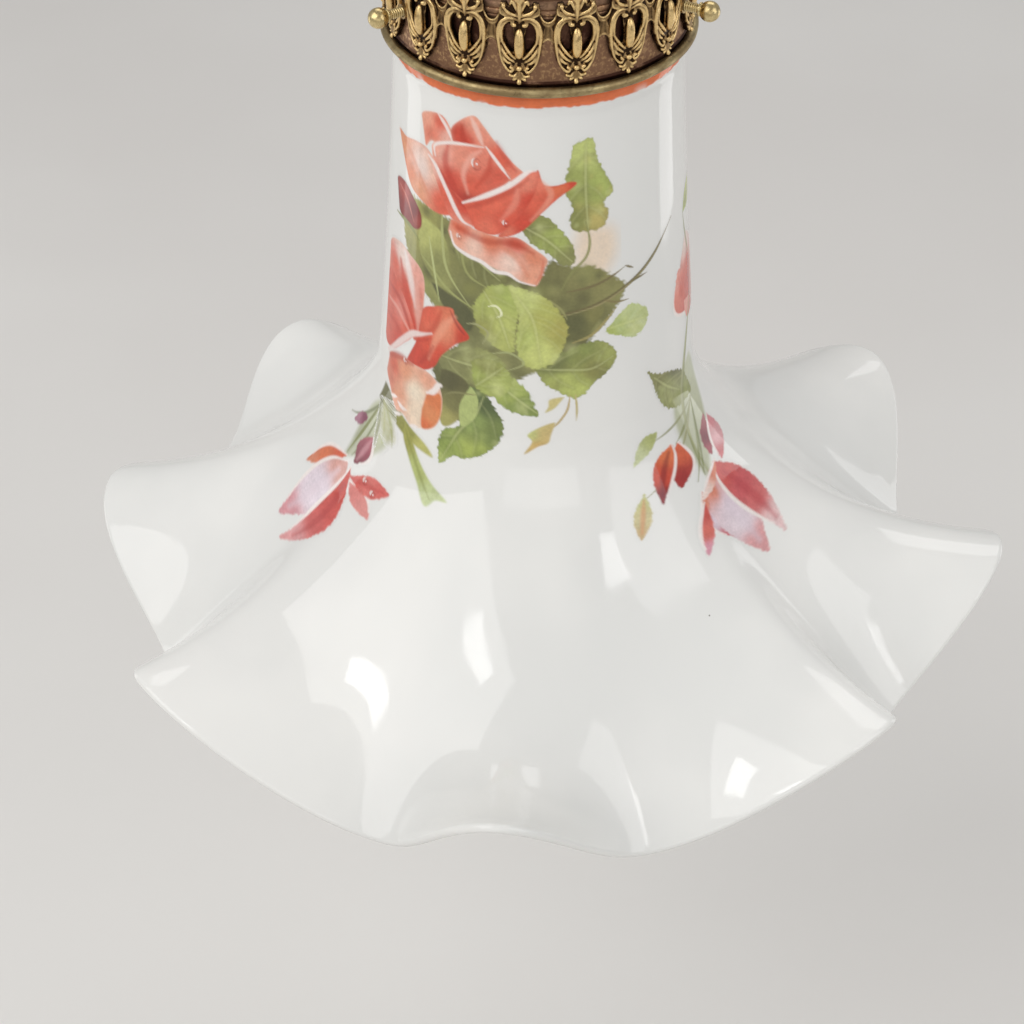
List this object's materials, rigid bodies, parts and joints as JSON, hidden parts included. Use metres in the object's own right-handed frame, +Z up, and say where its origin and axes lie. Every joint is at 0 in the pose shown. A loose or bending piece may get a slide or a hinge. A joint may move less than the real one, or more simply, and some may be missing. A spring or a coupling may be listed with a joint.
{
  "type": "hanging lamp shade head",
  "caption": "Hanging lamp head: rose-painted ruffled opal glass shade held mouth-down by thumbscrews in a pierced cast brass gallery, with socket and bulb.",
  "frame": {"origin": "centre of the hanging eye's hole", "axes": "+Z up, -Y to the front, the hanging eye's hole along Y; the lamp hangs below the origin"},
  "size_m": [0.3618, 0.3615, 0.3821],
  "materials": {
    "opal_glass": "glossy opal white glass with painted roses",
    "cast_brass": "cast, worn bright on the relief and dark in the hollows",
    "patinated_brass": "dull brown patina",
    "bead_brass": "rolled bead, rubbed",
    "aged_brass": "aged satin",
    "polished_brass": "turned and polished",
    "plain_brass": "plain machined",
    "steel": "zinc plated",
    "rubber": "soft tip",
    "brown_plastic": "moulded",
    "fibre": "waxed fibre",
    "porcelain": "glazed",
    "bulb_metal": "rolled thread",
    "black_glass": "glossy",
    "solder": "solder",
    "frosted_glass": "frosted",
    "clear_glass": "clear",
    "tungsten": "wire"
  },
  "bodies": {
    "root": {"hang_loop": "aged_brass", "wire_bushing": "brown_plastic", "nipple": "plain_brass", "upper_lock_nut": "aged_brass", "check_ring": "aged_brass", "gallery_dome": "patinated_brass", "lock_washer": "steel", "lower_lock_nut": "plain_brass", "gallery_band": "patinated_brass", "gallery_bead": "bead_brass", "gallery_border": "cast_brass", "screw_bosses": "aged_brass", "shade": "opal_glass", "socket_cap": "plain_brass", "socket_set_screw": "steel", "socket_shell": "plain_brass", "socket_lining": "fibre", "socket_core": "porcelain", "terminal_screws": "plain_brass", "socket_screw_shell": "plain_brass"},
    "tip_left": {"screw_tip_left": "rubber"},
    "screw_left": {"thumbscrew_left": "polished_brass"},
    "tip_right": {"screw_tip_right": "rubber"},
    "screw_right": {"thumbscrew_right": "polished_brass"},
    "tip_back": {"screw_tip_back": "rubber"},
    "screw_back": {"thumbscrew_back": "polished_brass"},
    "contact": {"socket_contact": "plain_brass"},
    "bulb": {"bulb_base": "bulb_metal", "bulb_insulator": "black_glass", "bulb_contact": "solder", "bulb_glass": "frosted_glass", "bulb_stem": "clear_glass", "bulb_leads": "steel", "bulb_filament": "tungsten"}
  },
  "joints": [
    {"name": "screw_left_advance", "type": "slide", "parent": "root", "child": "tip_left", "axis": [-0.8434, -0.5373, 0], "range_m": [0, 0.004]},
    {"name": "screw_left_turn", "type": "hinge", "parent": "tip_left", "child": "screw_left", "pos_m": [-0.04639, -0.02955, -0.0865], "axis": [-0.8434, -0.5373, 0], "range_deg": [0, 1800]},
    {"name": "screw_right_advance", "type": "slide", "parent": "root", "child": "tip_right", "axis": [0.887, -0.4617, 0], "range_m": [0, 0.004]},
    {"name": "screw_right_turn", "type": "hinge", "parent": "tip_right", "child": "screw_right", "pos_m": [0.04879, -0.0254, -0.0865], "axis": [0.887, -0.4617, 0], "range_deg": [0, 1800]},
    {"name": "screw_back_advance", "type": "slide", "parent": "root", "child": "tip_back", "axis": [-0.0436, 0.999, 0], "range_m": [0, 0.004]},
    {"name": "screw_back_turn", "type": "hinge", "parent": "tip_back", "child": "screw_back", "pos_m": [-0.0024, 0.05495, -0.0865], "axis": [-0.0436, 0.999, 0], "range_deg": [0, 1800]},
    {"name": "contact_follow", "type": "slide", "parent": "root", "child": "contact", "axis": [0, 0, -1], "range_m": [0, 0.0015]},
    {"name": "bulb_turn", "type": "hinge", "parent": "contact", "child": "bulb", "pos_m": [0, 0, -0.104], "axis": [0, 0, -1], "range_deg": [0, 149]}
  ],
  "couplings": [
    {"joint": "screw_left_turn", "follows": "screw_left_advance", "rad_per_m": 7853.9},
    {"joint": "screw_right_turn", "follows": "screw_right_advance", "rad_per_m": 7853.9},
    {"joint": "screw_back_turn", "follows": "screw_back_advance", "rad_per_m": 7853.9},
    {"joint": "bulb_turn", "follows": "contact_follow", "rad_per_m": 1730.9}
  ]
}
